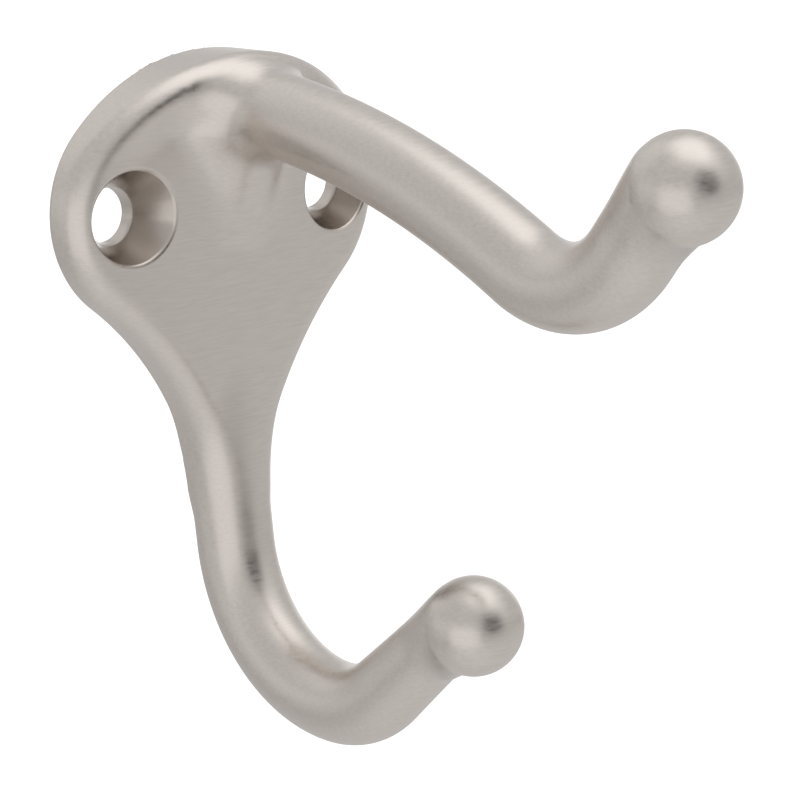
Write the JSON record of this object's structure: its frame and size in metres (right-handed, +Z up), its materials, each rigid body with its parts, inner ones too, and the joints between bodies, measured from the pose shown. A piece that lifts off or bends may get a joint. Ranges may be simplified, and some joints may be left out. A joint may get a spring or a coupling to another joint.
{
  "type": "double robe hook",
  "caption": "Wall-mounted cast metal hook with a long upper arm and a deep lower hook, each ending in a ball, on a shaped backplate with countersunk screw holes.",
  "frame": {"origin": "on the wall face of the backplate, midway between the two screw holes", "axes": "+X across the hook, +Y into the wall, +Z up; both hooks reach towards -Y"},
  "size_m": [0.0442, 0.081, 0.0771],
  "materials": {
    "satin_nickel": "satin nickel plate over cast brass, with a fine brushed grain"
  },
  "bodies": {
    "root": {"robe_hook": "satin_nickel"}
  },
  "joints": []
}
